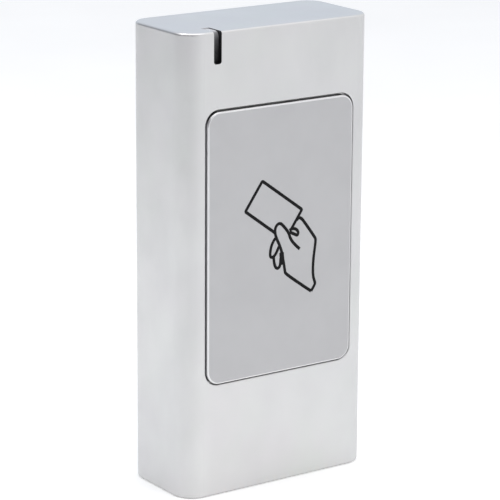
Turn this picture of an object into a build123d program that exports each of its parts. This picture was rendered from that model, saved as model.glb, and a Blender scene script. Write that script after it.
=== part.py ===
from build123d import *
import math
import os

# RFID card reader for a wall or door frame, in millimetres.
# +Z is up, the front faces -Y, and the wall is the plane y = 0.
# The origin is the centre of the wall plate's back face.

os.makedirs("parts", exist_ok=True)

# ---- case ----------------------------------------------------------------------------------------
HEIGHT = 105.0
WIDTH = 50.0
DEPTH = 23.0
FRONT_CORNER_R = 5.0
REAR_CORNER_R = 4.5
EDGE_R = 0.6
FRONT_WALL = 3.0
END_WALL = 3.0
SIDE_WALL = 5.6

FRONT_Y = -DEPTH
INNER_FRONT_Y = FRONT_Y + FRONT_WALL
TOP_Z = HEIGHT / 2
INNER_TOP_Z = TOP_Z - END_WALL
POCKET_HALF_W = WIDTH / 2 - SIDE_WALL
POCKET_R = 2.4

# ---- electronics bay, closed at its back by the rear cover ---------------------------------------
LEDGE = 1.2
LEDGE_Y = -7.0
BAY_HALF_W = POCKET_HALF_W - LEDGE
BAY_TOP_Z = 43.5
BAY_LOW_Z = -41.5
WEB = 2.0
WEB_WALL = 1.5
HOOK_POCKET_Y = -9.0
CLAMP_POCKET_Y = -12.0

# ---- window plate --------------------------------------------------------------------------------
WINDOW_Z = 4.35
POCKET_W = 39.6
POCKET_H = 62.1
POCKET_DEPTH = 1.5
POCKET_EDGE_R = 0.35
WINDOW_GAP = 0.3
WINDOW_SHIFT = 0.12
WINDOW_PROUD = 0.2
WINDOW_R = 3.2
WINDOW_EDGE_R = 0.45
TAPE_T = 0.2
TAPE_INSET = 0.6
APERTURE_W = 33.0
APERTURE_H = 56.0

# ---- light slot over the top front edge ----------------------------------------------------------
SLOT_X = -16.75
SLOT_W = 2.0
SLOT_DROP = 7.1
SLOT_BACK = 5.0
LENS_FRONT_RECESS = 1.1
LENS_TOP_RECESS = 0.15
LENS_TOP_R = 1.3
SLOT_END_R = 0.6
LENS_GAP = 0.08
SEAL_T = 0.6
LENS_FOOT_X = (-18.0, -14.8)
LENS_FOOT_Z = 44.2
LED_X = -16.2
LED_Z = 46.5
LED_T = 1.2

# ---- antenna -------------------------------------------------------------------------------------
ANTENNA_W = 35.6
ANTENNA_H = 60.0
ANTENNA_R = 3.0
BOBBIN_Y = (-19.9, -16.9)
BOBBIN_FLANGE = 0.6
BOBBIN_BAND = 3.0
GROOVE = 1.8
FERRITE_T = 0.4

# ---- main board ----------------------------------------------------------------------------------
BOARD_Y = (-14.0, -12.4)
BOARD_HALF_W = 17.7
BOARD_Z = (-36.0, 38.4)
BOARD_EAR_X = -13.2
BOARD_EAR_TOP = 48.0
POST_R = 2.2
POSTS = [(-15.6, 36.6), (15.6, 36.6), (-15.6, -28.0), (15.6, -28.0)]
M2_R = 0.85
REAR = BOARD_Y[1]

# ---- rear cover ----------------------------------------------------------------------------------
GASKET_T = 0.5
COVER_Y = (LEDGE_Y + GASKET_T, LEDGE_Y + GASKET_T + 1.6)
COVER_HALF_W = 19.1
COVER_Z = (-43.0, 44.6)
COVER_BOSS_R = 2.3
COVER_BOSSES = [(-10.3, 41.0), (15.7, 41.0), (-15.7, -39.0), (15.7, -39.0)]
GASKET_BAND = 0.9

# ---- cable inlet ---------------------------------------------------------------------------------
CABLE_Z = -8.0
CABLE_R = 2.6
GROMMET_R = 4.5
GROMMET_FLANGE_R = 6.0
GROMMET_FLANGE_T = 1.5

# ---- wall plate ----------------------------------------------------------------------------------
PLATE_T = 1.5
PLATE_GAP = 0.4
WALL_HOLE_SPACING = 60.0
WALL_HOLE_R = 2.2
WALL_SINK_R = 3.4
WALL_SINK_T = 0.8
CABLE_HOLE_R = 7.0
HOOK_HALF_W = 11.0
HOOK_Z = 46.4
HOOK_Y = -7.0
HOOK_LIP_TOP = 49.0
RIB_Y = (-4.4, -2.8)
RIB_Z = 48.2
RIB_HALF_W = 13.0
TAB_HALF_W = 6.0
TAB_Z = (-48.3, -46.8)
TAB_Y = -8.8
NOTCH_HALF_W = 1.8

# ---- security screw and clamp nut ----------------------------------------------------------------
SCREW_Y = -6.5
SCREW_R = 1.5
SCREW_HEAD_R = 2.75
SCREW_HEAD_Z = (-52.3, -50.65)
SCREW_END_Z = -43.8
NUT_SIZE = 6.0
NUT_Z = (-46.75, -44.75)
NUT_BORE_R = 1.55
GUIDE_GAP = 0.15

# ---- tamper plunger ------------------------------------------------------------------------------
TAMPER_X = 12.0
TAMPER_Z = -17.0
PLUNGER_R = 1.5
PLUNGER_COLLAR_R = 2.4
PLUNGER_COLLAR_Y = (-9.0, -8.3)
SWITCH_TOP_Y = -10.9
SPRING_WIRE_R = 0.15
SPRING_R = 1.85
SPRING_TURNS = 3


# ---- building blocks -----------------------------------------------------------------------------
def block(xs, ys, zs):
    """A box between two limits on each axis, given in either order."""
    low = [min(pair) for pair in (xs, ys, zs)]
    size = [abs(pair[1] - pair[0]) for pair in (xs, ys, zs)]
    centre = [start + span / 2 for start, span in zip(low, size)]
    return Pos(*centre) * Box(*size)


def rod(x, z, radius, ys):
    """A round bar along Y."""
    return Pos(x, sum(ys) / 2, z) * Rot(90, 0, 0) * Cylinder(radius, ys[1] - ys[0])


def upright(x, y, radius, zs):
    """A round bar along Z."""
    return Pos(x, y, sum(zs) / 2) * Cylinder(radius, zs[1] - zs[0])


def slab(width, height, radius, ys, z=0.0):
    """A rounded rectangle that faces along Y, between two depths."""
    face = Plane(origin=(0, ys[1], z), x_dir=(1, 0, 0), z_dir=(0, -1, 0))
    return extrude(face * RectangleRounded(width, height, radius), ys[1] - ys[0])


def save(name, shape):
    """Write one sub-part to its own file."""
    shape.label = name
    export_step(shape, f"parts/{name}.step")


def group(solids):
    """Separate solids that share one node."""
    return Compound(children=list(solids))


# ---- the case ------------------------------------------------------------------------------------
def case_block():
    """The solid outside of the case: an upright block with rounded corners."""
    body = Pos(0, -DEPTH / 2, 0) * Box(WIDTH, DEPTH, HEIGHT)
    upright_edges = body.edges().filter_by(Axis.Z).sort_by(Axis.Y)
    body = fillet(upright_edges[:2], FRONT_CORNER_R)
    rear_edges = body.edges().filter_by(Axis.Z).sort_by(Axis.Y)[-2:]
    body = fillet(rear_edges, REAR_CORNER_R)
    ends = body.faces().filter_by(Axis.Z)
    return fillet(ends.edges(), EDGE_R)


def case_shell():
    """The outside of the case with the window pocket, whose rim is softened as cast."""
    ys = (FRONT_Y - 1, FRONT_Y + POCKET_DEPTH)
    body = case_block() - slab(POCKET_W, POCKET_H, WINDOW_R + WINDOW_GAP, ys, WINDOW_Z)
    front_edges = body.edges().filter_by_position(Axis.Y, FRONT_Y - 0.01, FRONT_Y + 0.01)
    rim = [e for e in front_edges if abs(e.center().X) < POCKET_W / 2 + 0.01
           and abs(e.center().Z - WINDOW_Z) < POCKET_H / 2 + 0.01]
    return fillet(rim, POCKET_EDGE_R)


def bay():
    """The hollow that holds the board, with a front part that runs to both ends."""
    across = (-BAY_HALF_W, BAY_HALF_W)
    main = block(across, (INNER_FRONT_Y, LEDGE_Y), (BAY_LOW_Z, BAY_TOP_Z))
    upper = block(across, (INNER_FRONT_Y, HOOK_POCKET_Y - WEB_WALL), (0, INNER_TOP_Z))
    lower = block(across, (INNER_FRONT_Y, CLAMP_POCKET_Y - WEB_WALL), (-INNER_TOP_Z, 0))
    return main + upper + lower


def rear_pockets():
    """The shallow pocket for the wall plate, and the deeper ones for its hook and tab."""
    whole = slab(2 * POCKET_HALF_W, 2 * INNER_TOP_Z, POCKET_R, (LEDGE_Y, 1.0))
    across = (-BAY_HALF_W, BAY_HALF_W)
    hook = block(across, (HOOK_POCKET_Y, 0), (BAY_TOP_Z + WEB, INNER_TOP_Z))
    clamp = block(across, (CLAMP_POCKET_Y, 0), (-INNER_TOP_Z, BAY_LOW_Z - WEB))
    return whole + hook + clamp


def window_opening():
    """The opening behind the window plate for the radio field."""
    return slab(APERTURE_W, APERTURE_H, 2.0, (FRONT_Y, INNER_FRONT_Y + 1), WINDOW_Z)


def slot_cut():
    """The narrow slot through the top front edge."""
    xs = (SLOT_X - SLOT_W / 2, SLOT_X + SLOT_W / 2)
    cut = block(xs, (FRONT_Y - 1, FRONT_Y + SLOT_BACK), (TOP_Z - SLOT_DROP, TOP_Z + 1))
    lower_ends = cut.edges().filter_by(Axis.Y).sort_by(Axis.Z)[:2]
    return fillet(lower_ends, SLOT_END_R)


def screw_hole():
    """The counterbored hole for the security screw, in the floor of the case."""
    counterbore = upright(0, SCREW_Y, SCREW_HEAD_R + 0.25, (-TOP_Z - 1, SCREW_HEAD_Z[1]))
    through = upright(0, SCREW_Y, SCREW_R + 0.15, (-TOP_Z - 1, -INNER_TOP_Z + 1))
    return counterbore + through


def front_housing():
    """Die-cast case with its posts, bosses, hanging rib and nut guide."""
    body = case_shell() - bay() - rear_pockets()
    for x, z in POSTS:
        body += rod(x, z, POST_R, (INNER_FRONT_Y - 0.5, BOARD_Y[0]))
    for x, z in COVER_BOSSES:
        body += rod(x, z, COVER_BOSS_R, (INNER_FRONT_Y - 0.5, COVER_Y[0]))
    body += block((-RIB_HALF_W, RIB_HALF_W), RIB_Y, (RIB_Z, INNER_TOP_Z + 0.5))
    guide_front = SCREW_Y - NUT_SIZE / 2 - GUIDE_GAP
    guide_half = NUT_SIZE / 2 + 0.5
    body += block((-guide_half, guide_half), (CLAMP_POCKET_Y - 0.5, guide_front),
                  (-INNER_TOP_Z - 0.5, BAY_LOW_Z - WEB + 0.5))
    body = body - window_opening() - slot_cut() - screw_hole()
    for x, z in POSTS:
        body -= rod(x, z, M2_R, (BOARD_Y[0] - 5, BOARD_Y[0] + 1))
    for x, z in COVER_BOSSES:
        body -= rod(x, z, M2_R, (COVER_Y[0] - 7, COVER_Y[0] + 1))
    return body


# ---- window plate and its tape -------------------------------------------------------------------
def window_plate():
    """Rounded plastic plate, a little proud, bonded towards the pocket's lower right corner."""
    ys = (FRONT_Y - WINDOW_PROUD, FRONT_Y + POCKET_DEPTH - TAPE_T)
    plate = slab(POCKET_W - 2 * WINDOW_GAP, POCKET_H - 2 * WINDOW_GAP, WINDOW_R, ys, WINDOW_Z)
    plate = fillet(plate.faces().sort_by(Axis.Y)[0].edges(), WINDOW_EDGE_R)
    return Pos(WINDOW_SHIFT, 0, -WINDOW_SHIFT) * plate


def window_tape():
    """Adhesive frame on the pocket's ledge."""
    ys = (FRONT_Y + POCKET_DEPTH - TAPE_T, FRONT_Y + POCKET_DEPTH)
    outer = slab(POCKET_W - 2 * TAPE_INSET, POCKET_H - 2 * TAPE_INSET, WINDOW_R - 0.4, ys, WINDOW_Z)
    inner = slab(APERTURE_W + 0.6, APERTURE_H + 0.6, 2.2, ys, WINDOW_Z)
    return outer - inner


# ---- status light --------------------------------------------------------------------------------
def light_pipe():
    """Smoked lens: a thin blade with a rounded shoulder, and a foot behind it that faces the LED."""
    half = SLOT_W / 2 - LENS_GAP
    front = FRONT_Y + LENS_FRONT_RECESS
    top = TOP_Z - LENS_TOP_RECESS
    blade = block((SLOT_X - half, SLOT_X + half), (front, FRONT_Y + SLOT_BACK - LENS_GAP),
                  (TOP_Z - SLOT_DROP + LENS_GAP, top))
    blade = fillet(blade.edges().filter_by(Axis.Y).sort_by(Axis.Z)[:2], SLOT_END_R - LENS_GAP)
    shoulder = [e for e in blade.edges().filter_by(Axis.X)
                if abs(e.center().Y - front) < 0.01 and abs(e.center().Z - top) < 0.01]
    blade = fillet(shoulder, LENS_TOP_R)
    foot_ys = (INNER_FRONT_Y + SEAL_T, BOARD_Y[0] - LED_T - 0.6)
    foot = block(LENS_FOOT_X, foot_ys, (LENS_FOOT_Z, INNER_TOP_Z - 0.2))
    return blade + foot


def light_pipe_seal():
    """Foam frame between the lens's foot and the front wall."""
    xs = (LENS_FOOT_X[0] - 0.1, LENS_FOOT_X[1] + 0.1)
    zs = (LENS_FOOT_Z - 0.5, INNER_TOP_Z - 0.1)
    pad = block(xs, (INNER_FRONT_Y, INNER_FRONT_Y + SEAL_T), zs)
    half = SLOT_W / 2
    hole = block((SLOT_X - half, SLOT_X + half), (INNER_FRONT_Y - 1, INNER_FRONT_Y + 1),
                 (TOP_Z - SLOT_DROP, INNER_TOP_Z + 1))
    return pad - hole


def status_led():
    """Surface-mount LED with a domed window, on the front side of the board."""
    face = BOARD_Y[0] - LED_T
    body = block((LED_X - 1.4, LED_X + 1.4), (face, BOARD_Y[0]), (LED_Z - 1.5, LED_Z + 1.5))
    return body + rod(LED_X, LED_Z, 1.1, (face - 0.3, face))


# ---- antenna -------------------------------------------------------------------------------------
def frame_ring(inset, band, ys):
    """A rounded rectangular ring, inset from the antenna's outline."""
    width = ANTENNA_W - 2 * inset
    height = ANTENNA_H - 2 * inset
    outer = slab(width, height, ANTENNA_R, ys, WINDOW_Z)
    return outer - slab(width - 2 * band, height - 2 * band, ANTENNA_R - 1, ys, WINDOW_Z)


def antenna_bobbin():
    """Former with a groove round its outside."""
    low, high = BOBBIN_Y
    front = frame_ring(0, BOBBIN_BAND, (low, low + BOBBIN_FLANGE))
    back = frame_ring(0, BOBBIN_BAND, (high - BOBBIN_FLANGE, high))
    core = frame_ring(GROOVE, BOBBIN_BAND - GROOVE, (low, high))
    return front + core + back


def antenna_coil():
    """The winding, as the ring of space that its turns fill."""
    low, high = BOBBIN_Y
    return frame_ring(0.4, GROOVE - 0.45, (low + BOBBIN_FLANGE, high - BOBBIN_FLANGE))


def ferrite_sheet():
    """Thin shield between the antenna and the board."""
    back = BOBBIN_Y[1]
    return slab(ANTENNA_W - 1.5, ANTENNA_H - 1.5, ANTENNA_R, (back, back + FERRITE_T), WINDOW_Z)


# ---- main board and what is on it ----------------------------------------------------------------
def main_board():
    """Circuit board with an ear that carries the LED."""
    board = block((-BOARD_HALF_W, BOARD_HALF_W), BOARD_Y, BOARD_Z)
    board += block((-BOARD_HALF_W, BOARD_EAR_X), BOARD_Y, (0, BOARD_EAR_TOP))
    for x, z in POSTS:
        board -= rod(x, z, M2_R + 0.25, (BOARD_Y[0] - 1, BOARD_Y[1] + 1))
    return board


def pan_screw(x, z, seat_y, head_r, head_t, shank_r, length):
    """Pan-head screw driven forward from seat_y, with a cross recess."""
    head = rod(x, z, head_r, (seat_y, seat_y + head_t))
    head = fillet(head.edges().sort_by(Axis.Y)[-1], head_t * 0.4)
    cut = (seat_y + head_t * 0.4, seat_y + head_t + 1)
    arm = head_r * 0.6
    head -= block((x - arm, x + arm), cut, (z - 0.2, z + 0.2))
    head -= block((x - 0.2, x + 0.2), cut, (z - arm, z + arm))
    return head + rod(x, z, shank_r, (seat_y - length, seat_y))


def board_screws():
    """Four screws that hold the board on its posts."""
    return group(pan_screw(x, z, REAR, 1.8, 1.1, M2_R, 6.0) for x, z in POSTS)


def microcontroller():
    """Square chip with a row of leads on each side."""
    x, z, half, leads, pitch = 7.0, 24.0, 3.5, 8, 0.8
    ys = (REAR, REAR + 0.25)
    solids = [block((x - half, x + half), (REAR + 0.1, REAR + 1.3), (z - half, z + half))]
    for i in range(leads):
        along = (i - (leads - 1) / 2) * pitch
        for side in (-1, 1):
            near, far = side * half, side * (half + 1.0)
            low, high = along - 0.16, along + 0.16
            solids.append(block((x + near, x + far), ys, (z + low, z + high)))
            solids.append(block((x + low, x + high), ys, (z + near, z + far)))
    return group(solids)


def reader_chip():
    """Flat leadless chip that drives the antenna."""
    return block((-8.5, -3.5), (REAR, REAR + 0.9), (7.5, 12.5))


def crystal():
    """Metal-can crystal on a ceramic base."""
    base = block((-6.5, -1.5), (REAR, REAR + 0.5), (20.0, 23.2))
    return base + block((-6.2, -1.8), (REAR + 0.5, REAR + 1.2), (20.3, 22.9))


def buzzer():
    """Round sounder with a hole in its face."""
    x, z = -9.0, 31.0
    can = rod(x, z, 4.5, (REAR, REAR + 4.0))
    can = fillet(can.edges().sort_by(Axis.Y)[-1], 0.5)
    return can - rod(x, z, 0.9, (REAR + 2.5, REAR + 5))


def voltage_regulator():
    """Three-legged regulator with a wide tab."""
    body = block((-15.2, -8.8), (REAR + 0.1, REAR + 1.7), (-7.8, -4.2))
    tab = block((-13.6, -10.4), (REAR, REAR + 0.3), (-4.4, -2.4))
    legs = [block((x - 0.35, x + 0.35), (REAR, REAR + 0.3), (-9.4, -7.6)) for x in (-14.3, -12.0, -9.7)]
    for piece in [tab] + legs:
        body += piece
    return body


def storage_capacitor():
    """Round can capacitor on its square base."""
    x, z = 12.0, 8.0
    base = block((x - 2.7, x + 2.7), (REAR, REAR + 0.6), (z - 2.7, z + 2.7))
    can = rod(x, z, 2.5, (REAR + 0.6, REAR + 4.6))
    can = fillet(can.edges().sort_by(Axis.Y)[-1], 0.4)
    return base + can


def chips(places, length, width, height):
    """Small two-ended chips, one solid at each place."""
    ys = (REAR, REAR + height)
    return group(block((x - length / 2, x + length / 2), ys, (z - width / 2, z + width / 2))
                 for x, z in places)


def ceramic_capacitors():
    """Decoupling capacitors beside the chips."""
    row = [(2.0 + 3.0 * i, 15.6) for i in range(4)]
    column = [(-13.0, 22.0 - 2.2 * i) for i in range(4)]
    return chips(row + column, 1.6, 0.8, 0.8)


def chip_resistors():
    """Resistors in two columns and a row."""
    left = [(-13.0, 10.0 - 2.2 * i) for i in range(4)]
    middle = [(3.0, 9.0 - 2.2 * i) for i in range(4)]
    low = [(-6.0 + 3.0 * i, -21.5) for i in range(4)]
    return chips(left + middle + low, 1.6, 0.8, 0.5)


def header_xs():
    """Positions of the eight pins of the cable header."""
    return [2.5 * (i - 3.5) for i in range(8)]


def cable_header():
    """Open-topped plastic shroud for the cable's plug."""
    shroud = block((-11.2, 11.2), (REAR, REAR + 4.6), (-32.0, -26.4))
    hollow = block((-10.4, 10.4), (REAR + 1.2, REAR + 6), (-31.2, -27.2))
    shroud -= hollow
    for x in header_xs():
        shroud -= block((x - 0.32, x + 0.32), (REAR - 1, REAR + 2), (-29.52, -28.88))
    return shroud


def header_pins():
    """Square pins inside the shroud."""
    return group(block((x - 0.32, x + 0.32), (REAR, REAR + 4.0), (-29.52, -28.88)) for x in header_xs())


# ---- tamper switch -------------------------------------------------------------------------------
def tamper_switch():
    """Low switch base that the spring sits on, with its contact dome."""
    half = 3.2
    base_xs = (TAMPER_X - half, TAMPER_X + half)
    base = block(base_xs, (REAR, SWITCH_TOP_Y), (TAMPER_Z - half, TAMPER_Z + half))
    dome = rod(TAMPER_X, TAMPER_Z, 1.0, (SWITCH_TOP_Y, SWITCH_TOP_Y + 0.3))
    for side in (-1, 1):
        leg_xs = (TAMPER_X + side * half, TAMPER_X + side * (half + 0.8))
        for z in (TAMPER_Z - 2, TAMPER_Z + 2):
            base += block(leg_xs, (REAR, REAR + 0.3), (z - 0.4, z + 0.4))
    return base + dome


def tamper_spring():
    """Compression spring between the switch and the plunger's collar."""
    start = SWITCH_TOP_Y + SPRING_WIRE_R + 0.02
    rise = PLUNGER_COLLAR_Y[0] - SPRING_WIRE_R - 0.02 - start
    line = Helix(rise / SPRING_TURNS, rise, SPRING_R, center=(0, 0, 0), direction=(0, 0, 1))
    profile = Plane(origin=line @ 0, z_dir=line % 0) * Circle(SPRING_WIRE_R)
    coil = sweep(profile, path=line)
    return Pos(TAMPER_X, start, TAMPER_Z) * Rot(-90, 0, 0) * coil


def tamper_plunger():
    """Stepped pin: it reaches the wall through the rear cover and the wall plate."""
    shaft = rod(TAMPER_X, TAMPER_Z, PLUNGER_R, (PLUNGER_COLLAR_Y[1], 0))
    shaft = fillet(shaft.edges().sort_by(Axis.Y)[-1], 0.4)
    collar = rod(TAMPER_X, TAMPER_Z, PLUNGER_COLLAR_R, PLUNGER_COLLAR_Y)
    tail = rod(TAMPER_X, TAMPER_Z, 1.0, (PLUNGER_COLLAR_Y[0] - 1.3, PLUNGER_COLLAR_Y[0]))
    return shaft + collar + tail


# ---- rear cover, gasket, screws and grommet ------------------------------------------------------
def cover_outline(grow, radius, ys):
    """A plate of the rear cover's outline, made larger or smaller all round."""
    width = 2 * (COVER_HALF_W + grow)
    height = COVER_Z[1] - COVER_Z[0] + 2 * grow
    return slab(width, height, radius, ys, (COVER_Z[0] + COVER_Z[1]) / 2)


def rear_cover():
    """Plastic cover with a raised inner field and holes for screws, grommet and plunger."""
    cover = cover_outline(0, 1.5, COVER_Y)
    groove_ys = (COVER_Y[1] - 0.3, COVER_Y[1] + 1)
    cover -= cover_outline(-5.6, 1.5, groove_ys) - cover_outline(-6.2, 1.2, groove_ys)
    through = (COVER_Y[0] - 1, COVER_Y[1] + 1)
    for x, z in COVER_BOSSES:
        cover -= rod(x, z, M2_R + 0.25, through)
    cover -= rod(0, CABLE_Z, GROMMET_R + 0.03, through)
    cover -= rod(TAMPER_X, TAMPER_Z, PLUNGER_R + 0.07, through)
    return cover


def rear_gasket():
    """Thin rubber ring on the ledge under the cover."""
    ys = (LEDGE_Y, COVER_Y[0])
    return cover_outline(0, 1.5, ys) - cover_outline(-GASKET_BAND, 0.8, ys)


def rear_cover_screws():
    """Four screws that hold the rear cover."""
    return group(pan_screw(x, z, COVER_Y[1], 1.9, 1.3, M2_R, 8.0) for x, z in COVER_BOSSES)


def cable_grommet():
    """Rubber inlet for the cable, held by a flange on each side of the cover."""
    inner = (COVER_Y[0] - GROMMET_FLANGE_T, COVER_Y[0])
    outer = (COVER_Y[1], COVER_Y[1] + GROMMET_FLANGE_T)
    grommet = rod(0, CABLE_Z, GROMMET_R, (inner[0], outer[1]))
    grommet += rod(0, CABLE_Z, GROMMET_FLANGE_R, inner) + rod(0, CABLE_Z, GROMMET_FLANGE_R, outer)
    grommet = fillet(grommet.edges().filter_by(GeomType.CIRCLE).sort_by(Axis.Y)[-1], 0.5)
    return grommet - rod(0, CABLE_Z, CABLE_R, (inner[0] - 1, outer[1] + 1))


# ---- wall plate ----------------------------------------------------------------------------------
def sunk_hole(z):
    """Countersunk hole for a wall screw."""
    cone = Rot(90, 0, 0) * Cone(WALL_HOLE_R, WALL_SINK_R, WALL_SINK_T)
    sink = Pos(0, -PLATE_T + WALL_SINK_T / 2, z) * cone
    return rod(0, z, WALL_HOLE_R, (-PLATE_T - 1, 1)) + sink


def plate_hook():
    """The plate's top edge bent forward and up, to hang the case on."""
    flange = block((-HOOK_HALF_W, HOOK_HALF_W), (HOOK_Y, 0), (HOOK_Z, HOOK_Z + PLATE_T))
    lip = block((-HOOK_HALF_W, HOOK_HALF_W), (HOOK_Y, HOOK_Y + 1.4), (HOOK_Z, HOOK_LIP_TOP))
    hook = flange + lip
    bends = [e for e in hook.edges().filter_by(Axis.X)
             if abs(e.center().Y - HOOK_Y) < 0.01 and abs(e.center().Z - HOOK_Z) < 0.01]
    return fillet(bends, 1.0)


def plate_tab():
    """The plate's bottom edge bent forward, with a notch that is open to the front."""
    tab = block((-TAB_HALF_W, TAB_HALF_W), (TAB_Y, 0), TAB_Z)
    tab = fillet(tab.edges().filter_by(Axis.Z).sort_by(Axis.Y)[:2], 1.5)
    notch = block((-NOTCH_HALF_W, NOTCH_HALF_W), (TAB_Y - 1, SCREW_Y), (TAB_Z[0] - 1, TAB_Z[1] + 1))
    return tab - notch - upright(0, SCREW_Y, NOTCH_HALF_W, (TAB_Z[0] - 1, TAB_Z[1] + 1))


def wall_plate():
    """Stamped steel plate that is screwed to the wall."""
    width = 2 * (POCKET_HALF_W - PLATE_GAP)
    height = 2 * (INNER_TOP_Z - PLATE_GAP)
    plate = slab(width, height, POCKET_R - PLATE_GAP, (-PLATE_T, 0))
    top_relief = block((-HOOK_HALF_W - 1, HOOK_HALF_W + 1), (-2, 1), (HOOK_Z + PLATE_T, TOP_Z))
    low_relief = block((-TAB_HALF_W - 1, TAB_HALF_W + 1), (-2, 1), (-TOP_Z, TAB_Z[0]))
    plate = plate - top_relief - low_relief
    plate = plate + plate_hook() + plate_tab()
    for side in (-1, 1):
        plate -= sunk_hole(side * WALL_HOLE_SPACING / 2)
    plate -= rod(0, CABLE_Z, CABLE_HOLE_R, (-PLATE_T - 1, 1))
    return plate - rod(TAMPER_X, TAMPER_Z, PLUNGER_R + 1.1, (-PLATE_T - 1, 1))


# ---- security screw, its retainer and the clamp nut ----------------------------------------------
def security_screw():
    """Button-head screw with a socket and centre pin, head down."""
    head = upright(0, SCREW_Y, SCREW_HEAD_R, SCREW_HEAD_Z)
    head = fillet(head.edges().sort_by(Axis.Z)[0], 0.9)
    socket_zs = (SCREW_HEAD_Z[0] - 1, SCREW_HEAD_Z[0] + 1)
    hexagon = extrude(RegularPolygon(1.15, 6), socket_zs[1] - socket_zs[0])
    socket = Pos(0, SCREW_Y, socket_zs[0]) * hexagon
    socket -= upright(0, SCREW_Y, 0.4, socket_zs)
    return head - socket + upright(0, SCREW_Y, SCREW_R, (SCREW_HEAD_Z[1], SCREW_END_Z))


def screw_retainer():
    """Washer pressed on the screw, above the floor, so that it can't drop out."""
    zs = (-INNER_TOP_Z + 0.1, -INNER_TOP_Z + 0.7)
    return upright(0, SCREW_Y, 2.6, zs) - upright(0, SCREW_Y, SCREW_R, zs)


def clamp_nut():
    """Square nut that grips the wall plate's tab from above."""
    half = NUT_SIZE / 2
    nut = block((-half, half), (SCREW_Y - half, SCREW_Y + half), NUT_Z)
    nut = chamfer(nut.edges().filter_by(Axis.Z), 0.3)
    return nut - upright(0, SCREW_Y, NUT_BORE_R, (NUT_Z[0] - 1, NUT_Z[1] + 1))


SUB_PARTS = [
    front_housing, window_plate, window_tape, light_pipe, light_pipe_seal, status_led,
    antenna_bobbin, antenna_coil, ferrite_sheet, main_board, board_screws,
    microcontroller, reader_chip, crystal, buzzer, voltage_regulator, storage_capacitor,
    ceramic_capacitors, chip_resistors, cable_header, header_pins,
    tamper_switch, tamper_spring, tamper_plunger,
    rear_cover, rear_gasket, rear_cover_screws, cable_grommet,
    wall_plate, security_screw, screw_retainer, clamp_nut,
]

for make in SUB_PARTS:
    save(make.__name__, make())
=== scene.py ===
import math
import random

import bmesh
import bpy
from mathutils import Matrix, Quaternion, Vector


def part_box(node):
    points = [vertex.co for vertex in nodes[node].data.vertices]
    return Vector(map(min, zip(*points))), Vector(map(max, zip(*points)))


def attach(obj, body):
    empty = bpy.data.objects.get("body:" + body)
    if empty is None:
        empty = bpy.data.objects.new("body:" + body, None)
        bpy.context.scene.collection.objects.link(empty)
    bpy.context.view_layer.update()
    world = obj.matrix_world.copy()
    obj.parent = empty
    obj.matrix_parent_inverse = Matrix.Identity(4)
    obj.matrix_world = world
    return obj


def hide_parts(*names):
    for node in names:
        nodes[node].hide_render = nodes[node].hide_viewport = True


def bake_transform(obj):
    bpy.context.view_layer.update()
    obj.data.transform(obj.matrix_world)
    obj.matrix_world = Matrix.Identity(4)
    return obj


MM = 0.001

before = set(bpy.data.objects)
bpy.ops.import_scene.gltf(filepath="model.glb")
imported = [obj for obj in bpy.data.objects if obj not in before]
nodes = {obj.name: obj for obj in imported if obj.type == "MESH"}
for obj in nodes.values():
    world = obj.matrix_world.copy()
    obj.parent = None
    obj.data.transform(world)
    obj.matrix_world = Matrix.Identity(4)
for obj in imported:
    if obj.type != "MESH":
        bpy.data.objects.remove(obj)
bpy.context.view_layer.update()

# Sizes of the case that the frame doesn't give, as in the part's source.
SLOT_DROP = 7.1 * MM
SLOT_BACK = 5.0 * MM
WINDOW_R = 3.2 * MM
ANTENNA_R = 3.0 * MM
SPRING_WIRE_R = 0.15 * MM

# How far painted shade and light reach on the case, the window plate and the lens: shade inside the light
# slot, a highlight on the plate's rim, shade on the plate's side walls and light at the top of the lens.
SLOT_MARGIN = 0.1 * MM
SLOT_SKIN = 0.02 * MM
WINDOW_RIM = 0.4 * MM
GAP_SHADE_FADE = (3.0 * MM, 1.0 * MM)
LENS_FADE = 6.5 * MM

case_low, case_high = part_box("front_housing")
plate_low, plate_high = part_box("window_plate")
board_low, board_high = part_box("main_board")
coil_low, coil_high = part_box("antenna_coil")
lens_low, lens_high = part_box("light_pipe")


def lens_blade():
    """Lowest and highest x of the lens where it stands in the slot, ahead of its foot."""
    vertices = nodes["light_pipe"].data.vertices
    front = [vertex.co.x for vertex in vertices if vertex.co.y < lens_low.y + 0.5 * MM]
    return min(front), max(front)


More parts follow.
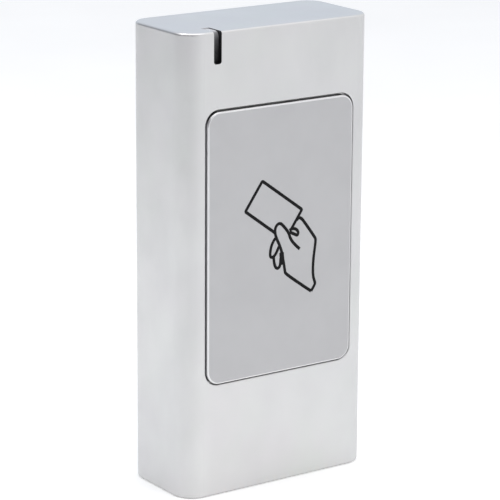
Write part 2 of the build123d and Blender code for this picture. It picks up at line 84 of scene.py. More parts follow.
# ---- materials -------------------------------------------------------------------
class Finish:
    """A principled material whose colour, roughness and surface come from procedural nodes."""

    def __init__(self, name, metallic=0.0, **sockets):
        self.material = bpy.data.materials.new(name)
        self.material.use_nodes = True
        self.tree = self.material.node_tree
        self.shader = self.tree.nodes["Principled BSDF"]
        self.shader.inputs["Metallic"].default_value = metallic
        for socket, value in sockets.items():
            self.shader.inputs[socket.replace("_", " ")].default_value = value
        self.coordinates = self.tree.nodes.new("ShaderNodeTexCoord").outputs["Object"]
        self.surface = None

    def node(self, kind, **settings):
        made = self.tree.nodes.new(kind)
        for name, value in settings.items():
            setattr(made, name, value)
        return made

    def link(self, source, target):
        self.tree.links.new(source, target)

    def places(self):
        """The X, Y and Z of the object coordinates, as separate sockets."""
        split = self.node("ShaderNodeSeparateXYZ")
        self.link(self.coordinates, split.inputs["Vector"])
        return split.outputs

    def stretched(self, factors):
        """Object coordinates, stretched along each axis."""
        mapping = self.node("ShaderNodeMapping")
        mapping.inputs["Scale"].default_value = factors
        self.link(self.coordinates, mapping.inputs["Vector"])
        return mapping.outputs["Vector"]

    def noise(self, size, detail=3.0, stretch=(1, 1, 1), seed=0.0):
        """Cloudy noise whose features are about this size in metres."""
        made = self.node("ShaderNodeTexNoise", noise_dimensions="4D")
        made.inputs["W"].default_value = seed
        made.inputs["Scale"].default_value = 1.0 / size
        made.inputs["Detail"].default_value = detail
        self.link(self.stretched(stretch), made.inputs["Vector"])
        return made.outputs["Fac"]

    def cells(self, size):
        """Rounded cells of about this size in metres."""
        made = self.node("ShaderNodeTexVoronoi")
        made.inputs["Scale"].default_value = 1.0 / size
        self.link(self.coordinates, made.inputs["Vector"])
        return made.outputs["Distance"]

    def spread(self, value, low, high, start=0.3, end=0.7):
        """A value between start and end, spread over low to high."""
        made = self.node("ShaderNodeMapRange")
        made.inputs["From Min"].default_value = start
        made.inputs["From Max"].default_value = end
        made.inputs["To Min"].default_value = low
        made.inputs["To Max"].default_value = high
        self.link(value, made.inputs["Value"])
        return made.outputs["Result"]

    def blend(self, value, first, second, start=0.35, end=0.65):
        """Two colours mixed by a value."""
        ramp = self.node("ShaderNodeValToRGB")
        ramp.color_ramp.elements[0].position = start
        ramp.color_ramp.elements[1].position = end
        ramp.color_ramp.elements[0].color = (*first, 1)
        ramp.color_ramp.elements[1].color = (*second, 1)
        self.link(value, ramp.inputs["Fac"])
        return ramp.outputs["Color"]

    def mix(self, factor, first, second):
        """Two colour sockets mixed by a factor socket."""
        made = self.node("ShaderNodeMix", data_type="RGBA")
        self.link(factor, made.inputs["Factor"])
        self.link(first, made.inputs["A"])
        self.link(second, made.inputs["B"])
        return made.outputs["Result"]

    def compute(self, operation, first, *others):
        """A math node on one socket and any number of plain values or sockets."""
        made = self.node("ShaderNodeMath", operation=operation)
        self.link(first, made.inputs[0])
        for target, value in zip(list(made.inputs)[1:], others):
            if isinstance(value, (int, float)):
                target.default_value = value
            else:
                self.link(value, target)
        return made.outputs["Value"]

    def colour(self, socket):
        self.link(socket, self.shader.inputs["Base Color"])

    def roughness(self, value, low, high):
        self.link(self.spread(value, low, high), self.shader.inputs["Roughness"])

    def bump(self, height, depth, strength=1.0):
        """Adds relief of this depth in metres to the surface."""
        made = self.node("ShaderNodeBump")
        made.inputs["Strength"].default_value = strength
        made.inputs["Distance"].default_value = depth
        self.link(height, made.inputs["Height"])
        if self.surface:
            self.link(self.surface, made.inputs["Normal"])
        self.surface = made.outputs["Normal"]
        self.link(self.surface, self.shader.inputs["Normal"])


def tone(colour, factor):
    return tuple(min(1.0, channel * factor) for channel in colour)


def moulded(name, colour, rough=0.5, grain=0.25 * MM, relief=0.01 * MM, variation=0.06, **sockets):
    """Moulded plastic or rubber with a fine texture and faint flow marks."""
    finish = Finish(name, **sockets)
    clouds = finish.noise(9 * MM, 4.0)
    finish.colour(finish.blend(clouds, tone(colour, 1 - variation), tone(colour, 1 + variation)))
    finish.roughness(finish.noise(2.5 * MM, 3.0, seed=2.0), rough - 0.07, rough + 0.07)
    finish.bump(finish.noise(grain, 2.0, seed=5.0), relief)
    return finish.material


def plated(name, colour, rough=0.3, grain=0.3 * MM, relief=0.004 * MM, stretch=(1, 1, 1), variation=0.06):
    """Plated metal, with grain that may run along one axis."""
    finish = Finish(name, metallic=1.0)
    clouds = finish.noise(6 * MM, 4.0)
    finish.colour(finish.blend(clouds, tone(colour, 1 - variation), tone(colour, 1 + variation)))
    finish.roughness(finish.noise(1.5 * MM, 3.0, stretch, seed=2.0), rough - 0.08, rough + 0.08)
    finish.bump(finish.noise(grain, 2.0, stretch, seed=5.0), relief)
    return finish.material


def slot_shade_mask(finish):
    """One inside the light slot, where shade is painted, and nought outside, from the place on the case.
    """
    left, right = lens_blade()
    half = (right - left) / 2 + SLOT_MARGIN
    place = finish.places()
    across = finish.compute("COMPARE", place["X"], (left + right) / 2, half)
    above = finish.compute("GREATER_THAN", place["Z"], case_high.z - SLOT_DROP - SLOT_MARGIN)
    ahead = finish.compute("LESS_THAN", place["Y"], case_low.y + SLOT_BACK)
    within = finish.compute("GREATER_THAN", place["Y"], case_low.y + SLOT_SKIN)
    column = finish.compute("MULTIPLY", across, above)
    return finish.compute("MULTIPLY", column, finish.compute("MULTIPLY", ahead, within))


def case_metal():
    """Satin plated zinc casting with soft clouds and fine grain; inside the light slot it is painted with
    shade, a very deep grey that is not metallic.
    """
    finish = Finish("case_satin")
    clouds = finish.noise(11 * MM, 3.0, (1, 1, 0.6))
    large = finish.noise(26 * MM, 1.0, seed=7.0)
    pale = finish.blend(clouds, (0.61, 0.61, 0.615), (0.67, 0.67, 0.67), 0.3, 0.7)
    patches = finish.noise(9 * MM, 2.0, seed=3.0)
    tinted = finish.blend(patches, (0.64, 0.655, 0.635), (0.655, 0.64, 0.65), 0.3, 0.7)
    metal = finish.mix(finish.spread(large, 0.2, 0.7), pale, tinted)
    # Painted shade: the slot's walls and floor get a very deep grey and lose their metal, for the shadow
    # in the recess.
    inside = slot_shade_mask(finish)
    slot_shade = finish.blend(clouds, (0.006, 0.006, 0.007), (0.012, 0.012, 0.013))
    finish.colour(finish.mix(inside, metal, slot_shade))
    outside = finish.compute("MULTIPLY_ADD", inside, -1.0, 1.0)
    finish.link(outside, finish.shader.inputs["Metallic"])
    finish.roughness(finish.noise(8 * MM, 4.0, seed=9.0), 0.37, 0.45)
    finish.bump(finish.noise(18 * MM, 1.0, seed=11.0), 0.05 * MM, 0.4)
    finish.bump(finish.noise(0.4 * MM, 3.0, seed=5.0), 0.005 * MM)
    return finish.material


def bevel_mask(finish, low, high, corner, width):
    """One on the rim of a rounded plate that faces along Y and nought on its face."""
    centre = (low + high) / 2
    place = finish.places()
    reach = []
    for axis, middle, edge in (("X", centre.x, high.x), ("Z", centre.z, high.z)):
        straight = edge - middle - corner
        offset = finish.compute("ABSOLUTE", finish.compute("SUBTRACT", place[axis], middle))
        beyond = finish.compute("MAXIMUM", finish.compute("SUBTRACT", offset, straight), 0.0)
        reach.append(finish.compute("MULTIPLY", beyond, beyond))
    distance = finish.compute("SQRT", finish.compute("ADD", *reach))
    return finish.compute("GREATER_THAN", distance, corner - width)


def window_grey():
    """Light grey plastic; a painted highlight makes its rim paler and metallic, and painted shade makes
    its side walls darker, deepest towards the top, where the gap round the plate is in shadow.
    """
    finish = Finish("window_matt")
    clouds = finish.noise(9 * MM, 4.0)
    face = finish.blend(clouds, (0.49, 0.49, 0.50), (0.51, 0.51, 0.52))
    rim = bevel_mask(finish, plate_low, plate_high, WINDOW_R, WINDOW_RIM)
    # Painted highlight: the rim is paler than the face and is made metallic below, so that it shines.
    rim_highlight = finish.blend(clouds, (0.74, 0.74, 0.75), (0.78, 0.78, 0.78))
    place = finish.places()
    side = finish.compute("GREATER_THAN", place["Y"], plate_low.y + WINDOW_RIM)
    start, end = (plate_high.z - drop for drop in GAP_SHADE_FADE)
    upper = finish.spread(place["Z"], 0.0, 1.0, start, end)
    # Painted shade in the gap round the plate: its side walls are darker than its face, and deeper still
    # towards the top, where the gap is in shadow.
    gap_shade = finish.blend(clouds, (0.30, 0.30, 0.32), (0.34, 0.34, 0.36))
    top_gap_shadow = finish.blend(clouds, (0.020, 0.020, 0.022), (0.035, 0.035, 0.037))
    sides = finish.mix(upper, gap_shade, top_gap_shadow)
    finish.colour(finish.mix(side, finish.mix(rim, face, rim_highlight), sides))
    finish.link(finish.compute("SUBTRACT", rim, side), finish.shader.inputs["Metallic"])
    finish.roughness(finish.noise(2.5 * MM, 3.0, seed=2.0), 0.35, 0.45)
    finish.bump(finish.noise(0.3 * MM, 2.0, seed=5.0), 0.005 * MM)
    return finish.material


def smoked_lens():
    """Smoked plastic. Its run of greys, pale at the top, stands in for light that gets in from above."""
    finish = Finish("lens_smoked", Specular_IOR_Level=0.2)
    height = finish.spread(finish.places()["Z"], 0.0, 1.0, lens_high.z - LENS_FADE, lens_high.z)
    ramp = finish.node("ShaderNodeValToRGB")
    shades = ramp.color_ramp.elements
    shades[0].color = (0.014, 0.014, 0.015, 1)
    shades[-1].color = (0.50, 0.50, 0.52, 1)
    for position, grey in ((0.35, 0.035), (0.7, 0.09), (0.95, 0.22)):
        shades.new(position).color = (grey, grey, grey * 1.04, 1)
    finish.link(height, ramp.inputs["Fac"])
    finish.colour(ramp.outputs["Color"])
    finish.roughness(finish.noise(1.2 * MM), 0.25, 0.35)
    return finish.material


def ink_black():
    """Screen-printed ink with a slightly uneven sheen."""
    return moulded("ink_print", (0.003, 0.003, 0.004), rough=0.5, grain=0.15 * MM, relief=0.003 * MM,
                   variation=0.3, Specular_IOR_Level=0.15)


def solder_mask():
    """Green lacquer over copper, with the glass weave showing through."""
    finish = Finish("mask_green", Coat_Weight=0.6, Coat_Roughness=0.12)
    weave = finish.node("ShaderNodeTexWave", wave_type="BANDS", bands_direction="X")
    weave.inputs["Scale"].default_value = 0.4 / MM
    weave.inputs["Distortion"].default_value = 1.5
    finish.link(finish.coordinates, weave.inputs["Vector"])
    threads = weave.outputs["Fac"]
    finish.colour(finish.blend(threads, (0.006, 0.085, 0.035), (0.008, 0.12, 0.05), 0.2, 0.8))
    finish.roughness(finish.noise(3 * MM), 0.25, 0.4)
    finish.bump(threads, 0.008 * MM)
    return finish.material


def ferrite():
    """Dark brittle sheet under a thin film, with fine cracks between its tiles."""
    finish = Finish("ferrite_dark")
    tiles = finish.cells(2.2 * MM)
    finish.colour(finish.blend(tiles, (0.035, 0.035, 0.04), (0.065, 0.064, 0.066), 0.2, 0.9))
    finish.roughness(finish.noise(2 * MM), 0.35, 0.5)
    finish.bump(tiles, 0.02 * MM)
    return finish.material


def foam(name):
    """Closed-cell foam with open-looking pores."""
    finish = Finish(name)
    pores = finish.cells(0.25 * MM)
    finish.colour(finish.blend(pores, (0.01, 0.01, 0.011), (0.045, 0.045, 0.048), 0.1, 0.8))
    finish.roughness(finish.noise(0.5 * MM), 0.85, 0.98)
    finish.bump(pores, 0.06 * MM)
    return finish.material


def zinc_sheet():
    """Zinc plated sheet: pale spangles and rolling marks across the plate."""
    finish = Finish("plate_zinc", metallic=1.0)
    spangle = finish.cells(5 * MM)
    rolled = finish.noise(0.5 * MM, 2.0, (0.06, 1, 1), seed=4.0)
    pale = finish.blend(spangle, (0.56, 0.575, 0.60), (0.70, 0.71, 0.72), 0.1, 0.9)
    lines = finish.blend(rolled, (0.57, 0.58, 0.60), (0.69, 0.70, 0.71))
    finish.colour(finish.mix(finish.spread(spangle, 0.3, 0.7), pale, lines))
    finish.roughness(rolled, 0.3, 0.48)
    finish.bump(rolled, 0.006 * MM)
    return finish.material


GREYS = {
    "steel": (0.62, 0.62, 0.63),
    "tin": (0.70, 0.70, 0.69),
    "aluminium": (0.78, 0.78, 0.79),
}

MATERIALS = {
    "front_housing": case_metal(),
    "window_plate": window_grey(),
    "window_tape": foam("tape_black"),
    "light_pipe": smoked_lens(),
    "light_pipe_seal": foam("seal_black"),
    "status_led": moulded("led_white", (0.82, 0.80, 0.72), rough=0.3, Subsurface_Weight=0.2),
    "antenna_bobbin": moulded("bobbin_nylon", (0.72, 0.70, 0.62), rough=0.45, Subsurface_Weight=0.1),
    "antenna_coil": plated("wire_copper", (0.72, 0.30, 0.13), rough=0.25, grain=0.4 * MM),
    "ferrite_sheet": ferrite(),
    "main_board": solder_mask(),
    "microcontroller": moulded("chip_epoxy", (0.02, 0.02, 0.022), grain=0.12 * MM, relief=0.012 * MM),
    "crystal": plated("can_nickel", GREYS["steel"], rough=0.22),
    "buzzer": moulded("buzzer_black", (0.018, 0.018, 0.02), rough=0.4),
    "storage_capacitor": plated("can_aluminium", GREYS["aluminium"], rough=0.28, stretch=(1, 0.1, 1)),
    "ceramic_capacitors": moulded("ceramic_tan", (0.42, 0.29, 0.17), rough=0.35),
    "chip_resistors": moulded("resistor_black", (0.03, 0.03, 0.035), rough=0.35),
    "cable_header": moulded("header_nylon", (0.78, 0.76, 0.68), rough=0.42),
    "header_pins": plated("pin_gold", (0.83, 0.62, 0.25), rough=0.2),
    "tamper_switch": moulded("switch_black", (0.02, 0.02, 0.022), rough=0.45),
    "tamper_spring": plated("spring_steel", GREYS["steel"], rough=0.2),
    "tamper_plunger": moulded("plunger_acetal", (0.76, 0.76, 0.74), rough=0.35, Subsurface_Weight=0.1),
    "rear_cover": moulded("cover_abs", (0.022, 0.022, 0.024), rough=0.55, grain=0.45 * MM,
                          relief=0.03 * MM),
    "rear_gasket": moulded("gasket_rubber", (0.015, 0.015, 0.016), rough=0.75),
    "cable_grommet": moulded("grommet_rubber", (0.018, 0.018, 0.019), rough=0.7, variation=0.15),
    "wall_plate": zinc_sheet(),
    "security_screw": plated("screw_stainless", GREYS["steel"], rough=0.25),
    "board_screws": plated("screw_zinc", GREYS["tin"], rough=0.25),
    "clamp_nut": plated("nut_zinc", GREYS["steel"], rough=0.35),
    "screw_retainer": moulded("retainer_nylon", (0.70, 0.70, 0.66), rough=0.45),
}
MATERIALS["reader_chip"] = MATERIALS["microcontroller"]
MATERIALS["voltage_regulator"] = MATERIALS["microcontroller"]
MATERIALS["rear_cover_screws"] = MATERIALS["board_screws"]


def dress(obj, material):
    """Gives every face of an object one material."""
    obj.data.materials.clear()
    obj.data.materials.append(material)


for name, obj in nodes.items():
    dress(obj, MATERIALS[name])


# ---- pieces built here -----------------------------------------------------------
def add_piece(name, data):
    """Puts a mesh, curve, light or camera in the scene as an object of this name."""
    piece = bpy.data.objects.new(name, data)
    bpy.context.scene.collection.objects.link(piece)
    return piece


def smooth_faces(mesh):
    """Shades every face of a mesh smooth."""
    for face in mesh.polygons:
        face.use_smooth = True


def tubes(name, strokes, radius):
    """Round tubes as one mesh object. A stroke is its points, smooth or not, closed or not, and width."""
    curve = bpy.data.curves.new(name, "CURVE")
    curve.dimensions = "3D"
    curve.bevel_depth = radius
    curve.bevel_resolution = 2
    curve.resolution_u = 8
    curve.use_fill_caps = True
    for points, smooth, closed, width in strokes:
        spline = curve.splines.new("NURBS" if smooth else "POLY")
        spline.points.add(len(points) - 1)
        for point, place in zip(spline.points, points):
            point.co = (*place, 1.0)
            point.radius = width
        spline.use_cyclic_u = closed
        if smooth:
            spline.order_u = 3
            spline.use_endpoint_u = not closed
    holder = add_piece(name + "_line", curve)
    graph = bpy.context.evaluated_depsgraph_get()
    mesh = bpy.data.meshes.new_from_object(holder.evaluated_get(graph))
    mesh.name = name
    bpy.data.objects.remove(holder)
    smooth_faces(mesh)
    return add_piece(name, mesh)


def finish_piece(piece, material):
    """Gives a new piece its material, and lets it ride with the case."""
    dress(piece, material)
    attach(piece, "reader")


# The sign on the window plate, in millimetres on the plate: x to the right, z up.
LINE_HALF = 0.37 * MM
INK_PROUD = 0.03 * MM
CARD_CORNERS = [(-5.0, 18.2), (5.8, 10.3), (1.3, 3.9), (-9.5, 11.9)]
CARD_CORNER_R = 0.7
CARD_NEAR_GAP = 5.1
CARD_LEFT_RUN = 10.0
HAND_BACK = [(4.3, 8.0), (4.9, 8.6), (5.7, 8.3), (6.6, 7.2), (9.3, 3.6), (9.7, 2.9), (9.6, 1.8),
             (9.1, -1.6), (9.0, -4.4), (9.2, -6.0), (9.7, -7.2), (9.5, -7.8), (8.6, -9.0)]
HAND_FRONT = [(8.6, -9.0), (1.5, -4.0), (1.3, -3.2), (0.8, -0.4), (0.1, 2.4), (-1.2, 4.8), (-1.6, 6.6),
              (-1.0, 7.8), (0.0, 8.0), (1.0, 7.0), (2.3, 5.4), (2.6, 4.2), (3.8, 2.6), (5.3, 1.3)]
FINGER_FOLD = [(2.4, 6.0), (3.2, 6.3), (4.2, 6.1), (4.9, 5.3), (4.7, 4.5), (4.0, 4.8), (2.5, 5.6)]
FINGER_ONE = [(-1.4, 4.7), (-2.3, 3.7), (-2.8, 1.6), (-2.7, 0.6), (-2.0, 0.4), (-1.1, 1.2),
              (-0.6, 2.4), (-0.1, 3.0)]
FINGER_TWO = [(-1.8, 0.4), (-1.7, -0.8), (-1.3, -2.0), (-0.6, -2.4), (0.0, -1.8), (0.1, -0.2),
              (0.3, 1.3)]
FINGER_THREE = [(0.35, 1.2), (0.45, -0.4), (0.7, -1.6)]
FINGER_THREE_WIDTH = 1.7


def towards(start, end, reach):
    """The point this far from start on the way to end."""
    step = Vector(end) - Vector(start)
    return tuple(Vector(start) + step.normalized() * reach)


def card_stroke():
    """The card's outline with rounded corners, open where the thumb lies over its near corner."""
    top, right, near, left = CARD_CORNERS
    outline = [towards(right, near, CARD_NEAR_GAP)]
    for before, corner, after in ((near, right, top), (right, top, left), (top, left, near)):
        outline.append(towards(corner, before, CARD_CORNER_R))
        outline.append(corner)
        outline.append(towards(corner, after, CARD_CORNER_R))
    return outline + [towards(left, near, CARD_LEFT_RUN)]


def on_plate(points):
    """Points of the sign, placed on the front of the window plate."""
    return [(x * MM, plate_low.y, z * MM) for x, z in points]


def build_sign():
    """The printed hand-and-card sign: flat raised lines."""
    lines = [card_stroke(), HAND_BACK, HAND_FRONT, FINGER_FOLD, FINGER_ONE, FINGER_TWO]
    strokes = [(on_plate(points), True, False, 1.0) for points in lines]
    strokes.append((on_plate(FINGER_THREE), True, False, FINGER_THREE_WIDTH))
    sign = tubes("sign_lines", strokes, LINE_HALF)
    for vertex in sign.data.vertices:
        offset = vertex.co.y - plate_low.y
        vertex.co.y = plate_low.y + offset / LINE_HALF * INK_PROUD
    finish_piece(sign, ink_black())


# ---- antenna and spring ----------------------------------------------------------
COIL_WIRE_R = 0.16 * MM
COIL_PITCH = 2.06 * COIL_WIRE_R
COIL_DEPTH = 1.35 * MM
SPRING_TURNS = 3.5
SPRING_FLAT = 0.25
SPRING_STEPS = 20


def rounded_loop(half_w, half_h, corner, centre_z, y, steps=5):
    """Points round a rectangle with rounded corners, in a plane that faces along Y."""
    points = []
    for quarter, (side, up) in enumerate(((1, 1), (-1, 1), (-1, -1), (1, -1))):
        for i in range(steps + 1):
            angle = math.pi / 2 * (quarter + i / steps)
            x = side * (half_w - corner) + corner * math.cos(angle)
            z = up * (half_h - corner) + corner * math.sin(angle)
            points.append((x, y, centre_z + z))
    return points


def build_coil():
    """The antenna's winding: closed turns, layer on layer, in the bobbin's groove."""
    across = int((coil_high.y - coil_low.y) / COIL_PITCH)
    spare = (coil_high.y - coil_low.y - across * COIL_PITCH) / 2
    centre = (coil_low.z + coil_high.z) / 2
    half_h = (coil_high.z - coil_low.z) / 2
    strokes = []
    for layer in range(int(COIL_DEPTH / COIL_PITCH)):
        inset = COIL_WIRE_R + layer * COIL_PITCH
        for turn in range(across):
            y = coil_low.y + spare + (turn + 0.5) * COIL_PITCH
            loop = rounded_loop(coil_high.x - inset, half_h - inset, ANTENNA_R - inset, centre, y)
            strokes.append((loop, False, True, 1.0))
    coil = tubes("coil_turns", strokes, COIL_WIRE_R)
    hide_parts("antenna_coil")
    finish_piece(coil, MATERIALS["antenna_coil"])


def build_spring():
    """The tamper spring, a coil of wire with closed ends."""
    low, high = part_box("tamper_spring")
    centre = (low + high) / 2
    radius = (high.x - low.x) / 2 - SPRING_WIRE_R
    start, end = low.y + SPRING_WIRE_R, high.y - SPRING_WIRE_R
    points = []
    for i in range(int(SPRING_TURNS * SPRING_STEPS) + 1):
        turned = i / SPRING_STEPS
        angle = 2 * math.pi * turned
        share = (turned - SPRING_FLAT) / (SPRING_TURNS - 2 * SPRING_FLAT)
        y = start + (end - start) * min(1.0, max(0.0, share))
        points.append((centre.x + radius * math.cos(angle), y, centre.z + radius * math.sin(angle)))
    spring = tubes("spring_coil", [(points, False, False, 1.0)], SPRING_WIRE_R)
    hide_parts("tamper_spring")
    dress(spring, MATERIALS["tamper_spring"])
    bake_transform(spring)


# ---- what is soldered to the board -----------------------------------------------
CAP_PROUD = 0.03 * MM
CAP_REACH = 0.38 * MM
CAP_BEVEL = 0.05 * MM
SOLDER_IN = 0.1 * MM
SOLDER_OUT = 0.45 * MM
SOLDER_SIDE = 0.12 * MM
SOLDER_RISE = 0.16 * MM
LEAD_LIMIT = 2 * MM
PAD_MARGIN = 0.1 * MM
PAD_PROUD = 0.04 * MM
PAD_SUNK = 0.01 * MM
PAD_BEVEL = 0.015 * MM
TEST_PAD_HALF = 0.6 * MM
TRACK_HALF = 0.16 * MM
TRACK_FLATNESS = 0.2
VIA_COUNT = 46
# Where vias lie on the board, in millimetres as the tracks are.
VIA_X = (-15.5, 15.5)
VIA_Z = (-23.0, 33.0)
VIA_FOOT_R = 0.28 * MM
VIA_TOP_R = 0.22 * MM
VIA_DEPTH = 0.05 * MM


def islands(obj):
    """Lowest and highest corner of each separate solid in a CAD node."""
    mesh = bmesh.new()
    mesh.from_mesh(obj.data)
    bmesh.ops.remove_doubles(mesh, verts=mesh.verts, dist=0.001 * MM)
    mesh.verts.ensure_lookup_table()
    seen, boxes = set(), []
    for first in mesh.verts:
        if first.index in seen:
            continue
        seen.add(first.index)
        island, stack = [], [first]
        while stack:
            vertex = stack.pop()
            island.append(vertex.co.copy())
            for edge in vertex.link_edges:
                other = edge.other_vert(vertex)
                if other.index not in seen:
                    seen.add(other.index)
                    stack.append(other)
        low = Vector(min(co[axis] for co in island) for axis in range(3))
        high = Vector(max(co[axis] for co in island) for axis in range(3))
        boxes.append((low, high))
    mesh.free()
    return boxes


def bevelled_boxes(name, boxes, bevel):
    """Boxes with rounded edges, as one mesh object."""
    mesh = bmesh.new()
    for low, high in boxes:
        made = bmesh.ops.create_cube(mesh, size=1.0)
        centre, size = (low + high) / 2, high - low
        for vertex in made["verts"]:
            vertex.co = centre + Vector(a * b for a, b in zip(vertex.co, size))
    bmesh.ops.bevel(mesh, geom=mesh.edges[:], offset=bevel, segments=2, affect="EDGES", profile=0.5)
    data = bpy.data.meshes.new(name)
    mesh.to_mesh(data)
    mesh.free()
    smooth_faces(data)
    return add_piece(name, data)


def end_cap(low, high, side):
    """The tinned end of a small chip, a little proud of its body, with solder at its foot."""
    edge = high.x if side > 0 else low.x
    inner, outer = sorted((edge - side * CAP_REACH, edge + side * CAP_PROUD))
    cap = (Vector((inner, low.y, low.z - CAP_PROUD)),
           Vector((outer, high.y + CAP_PROUD, high.z + CAP_PROUD)))
    inner, outer = sorted((edge - side * SOLDER_IN, edge + side * SOLDER_OUT))
    foot = (Vector((inner, low.y, low.z - SOLDER_SIDE)),
            Vector((outer, low.y + SOLDER_RISE, high.z + SOLDER_SIDE)))
    return [cap, foot]


def build_chip_ends():
    """Tinned ends and solder of every small chip."""
    boxes = []
    for name in ("ceramic_capacitors", "chip_resistors"):
        for low, high in islands(nodes[name]):
            boxes += end_cap(low, high, -1) + end_cap(low, high, 1)
    ends = bevelled_boxes("chip_ends", boxes, CAP_BEVEL)
    finish_piece(ends, MATERIALS["board_screws"])


def lead_boxes():
    """The boxes of the microcontroller's leads, which are its small solids."""
    return [box for box in islands(nodes["microcontroller"]) if max(box[1] - box[0]) < LEAD_LIMIT]


def tin_leads():
    """Gives the microcontroller's leads a tinned finish."""
    mesh = nodes["microcontroller"].data
    mesh.materials.append(MATERIALS["board_screws"])
    slack = Vector((0.01, 0.01, 0.01)) * MM
    for low, high in lead_boxes():
        least, most = low - slack, high + slack
        for face in mesh.polygons:
            if all(least[axis] < face.center[axis] < most[axis] for axis in range(3)):
                face.material_index = 1


def pad(x, z, half_w, half_h):
    """A tinned pad on the back of the board."""
    low = Vector((x - half_w, board_high.y - PAD_SUNK, z - half_h))
    return low, Vector((x + half_w, board_high.y + PAD_PROUD, z + half_h))


def build_pads():
    """Tinned pads under the microcontroller's leads, and two rows of test pads."""
    boxes = []
    for low, high in lead_boxes():
        centre, half = (low + high) / 2, (high - low) / 2
        boxes.append(pad(centre.x, centre.z, half.x + PAD_MARGIN, half.z + PAD_MARGIN))
    for row in range(2):
        for column in range(5):
            x = (-6.0 + 3.0 * column) * MM
            z = (-13.5 - 2.4 * row) * MM
            boxes.append(pad(x, z, TEST_PAD_HALF, TEST_PAD_HALF))
    pads = bevelled_boxes("board_pads", boxes, PAD_BEVEL)
    finish_piece(pads, MATERIALS["board_screws"])


def trace(points):
    """A copper track under the lacquer, from points on the back of the board in millimetres."""
    return ([(x * MM, board_high.y, z * MM) for x, z in points], False, False, 1.0)


def build_tracks():
    """Tracks from the header, from two sides of the microcontroller and along the board's edges."""
    strokes = []
    for i in range(8):
        pin = 2.5 * (i - 3.5)
        near = 0.7 * pin
        bend = 1.5 * abs(i - 3.5)
        turn = -24.5 + 0.6 * bend
        strokes.append(trace([(pin, -29.0), (pin, turn), (near, -19.0 + bend), (near, -11.8)]))
        lead = 3.9 + 0.8 * i
        end = 0.6 * lead + 0.5
        strokes.append(trace([(lead, 19.0), (lead, 17.2), (end, 14.9), (end, 13.0)]))
    for i in range(6):
        z = 26.5 - 0.8 * i
        x = -0.6 - 0.3 * i
        strokes.append(trace([(2.2, z), (x + 1.0, z), (x, z - 1.2), (x, 13.5 - 0.5 * i)]))
    for side in (-1, 1):
        outer, inner = 16.8 * side, 16.2 * side
        strokes.append(trace([(outer, 33.0), (outer, -24.0), (14.6 * side, -33.6), (12.0 * side, -34.8)]))
        strokes.append(trace([(inner, 32.0), (inner, -22.5)]))
    tracks = tubes("board_tracks", strokes, TRACK_HALF)
    for vertex in tracks.data.vertices:
        vertex.co.y = board_high.y + (vertex.co.y - board_high.y) * TRACK_FLATNESS
    lacquer = moulded("mask_track", (0.012, 0.16, 0.06), rough=0.3, variation=0.1)
    finish_piece(tracks, lacquer)


def build_vias():
    """Plated through holes scattered over the board."""
    draw = random.Random(7)
    mesh = bmesh.new()
    for _ in range(VIA_COUNT):
        x = draw.uniform(*VIA_X) * MM
        z = draw.uniform(*VIA_Z) * MM
        made = bmesh.ops.create_cone(mesh, segments=16, radius1=VIA_FOOT_R, radius2=VIA_TOP_R,
                                     depth=VIA_DEPTH)
        for vertex in made["verts"]:
            vertex.co = Vector((x + vertex.co.x, board_high.y + vertex.co.z, z + vertex.co.y))
    bmesh.ops.recalc_face_normals(mesh, faces=mesh.faces)
    data = bpy.data.meshes.new("board_vias")
    mesh.to_mesh(data)
    mesh.free()
    finish_piece(add_piece("board_vias", data), MATERIALS["header_pins"])


build_sign()
build_coil()
build_spring()
build_chip_ends()
tin_leads()
build_pads()
build_tracks()
build_vias()


# ---- stage, light and camera -----------------------------------------------------
FLOOR_HALF = 3.0
FLOOR_GLOW = 0.25


def build_floor():
    """A wide pale floor under the case, with a slight glow that keeps the background white."""
    mesh = bpy.data.meshes.new("floor")
    signs = ((-1, -1), (1, -1), (1, 1), (-1, 1))
    corners = [(x * FLOOR_HALF, y * FLOOR_HALF, case_low.z) for x, y in signs]
    mesh.from_pydata(corners, [], [(0, 1, 2, 3)])
    floor = add_piece("floor", mesh)
    finish = Finish("floor_paper")
    paper = finish.blend(finish.noise(60 * MM), (0.90, 0.90, 0.90), (0.92, 0.92, 0.92))
    finish.colour(paper)
    finish.link(paper, finish.shader.inputs["Emission Color"])
    finish.shader.inputs["Emission Strength"].default_value = FLOOR_GLOW
    finish.roughness(finish.noise(20 * MM), 0.75, 0.85)
    dress(floor, finish.material)


# Levels set so that the tones of the case come near those in the photo.
WORLD_LEFT = (0.12, 0.12, 0.13)
WORLD_RIGHT = (1.08, 1.08, 1.09)
WORLD_BEHIND = (0.82, 0.89, 0.99)
# Where along the sky's X or Y each blend of two colours starts and ends.
SIDES_BLEND = (-0.8, 0.5)
BEHIND_BLEND = (-0.9, 0.2)
DEPTH_BLEND = (0.1, 0.7)


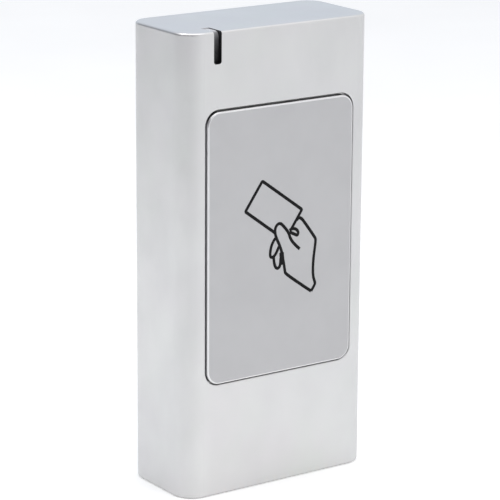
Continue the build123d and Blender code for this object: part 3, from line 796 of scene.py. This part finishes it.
def build_world():
    """Soft light from all round: dimmer on the left, brighter on the right, cool behind."""
    world = bpy.data.worlds.new("studio")
    world.use_nodes = True
    tree = world.node_tree
    place = tree.nodes.new("ShaderNodeSeparateXYZ")
    tree.links.new(tree.nodes.new("ShaderNodeTexCoord").outputs["Generated"], place.inputs["Vector"])

    def ramp(axis, blend, first, second):
        """A colour that changes from first to second along one direction."""
        span = tree.nodes.new("ShaderNodeMapRange")
        span.interpolation_type = "SMOOTHSTEP"
        span.inputs["From Min"].default_value = blend[0]
        span.inputs["From Max"].default_value = blend[1]
        tree.links.new(place.outputs[axis], span.inputs["Value"])
        made = tree.nodes.new("ShaderNodeMix")
        made.data_type = "RGBA"
        tree.links.new(span.outputs["Result"], made.inputs["Factor"])
        for socket, value in (("A", first), ("B", second)):
            if isinstance(value, tuple):
                made.inputs[socket].default_value = (*value, 1)
            else:
                tree.links.new(value, made.inputs[socket])
        return made.outputs["Result"]

    sides = ramp("X", SIDES_BLEND, WORLD_LEFT, WORLD_RIGHT)
    behind = ramp("X", BEHIND_BLEND, WORLD_LEFT, WORLD_BEHIND)
    whole = ramp("Y", DEPTH_BLEND, sides, behind)
    tree.links.new(whole, tree.nodes["Background"].inputs["Color"])
    bpy.context.scene.world = world


def softbox(name, place, target, size, power):
    """A square area light at a place, turned to a target."""
    light = bpy.data.lights.new(name, "AREA")
    light.size = size
    light.energy = power
    lamp = add_piece(name, light)
    lamp.location = place
    lamp.rotation_euler = (Vector(target) - Vector(place)).to_track_quat("-Z", "Y").to_euler()


# Fitted to the edges of the case in the photo.
CAMERA_YAW = math.radians(34.91)
CAMERA_PITCH = math.radians(15.17)
CAMERA_ROLL = math.radians(0.37)
CAMERA_DISTANCE = 0.5824
CAMERA_AIM = Vector((-0.14, -11.65, -0.76)) * MM
SENSOR_WIDTH = 36.0
FOCAL_LENGTH = 186.0


def build_camera():
    """The camera: a long lens at the upper left, with a slight roll."""
    level = math.cos(CAMERA_PITCH)
    look = Vector((math.sin(CAMERA_YAW) * level, math.cos(CAMERA_YAW) * level, -math.sin(CAMERA_PITCH)))
    data = bpy.data.cameras.new("camera")
    data.sensor_width = SENSOR_WIDTH
    data.lens = FOCAL_LENGTH
    data.clip_start = 0.01
    camera = add_piece("camera", data)
    camera.location = CAMERA_AIM - look * CAMERA_DISTANCE
    camera.rotation_mode = "QUATERNION"
    camera.rotation_quaternion = look.to_track_quat("-Z", "Y") @ Quaternion((0, 0, 1), CAMERA_ROLL)
    bpy.context.scene.camera = camera


build_floor()
build_world()
softbox("overhead", place=(-0.05, -0.15, 0.62), target=(0, 0, 0), size=0.6, power=1.35)
softbox("left_fill", place=(-0.20, 0.02, 0.35), target=(-0.06, 0.02, -0.05), size=0.2, power=0.55)
build_camera()
bpy.context.scene.view_settings.view_transform = "Standard"
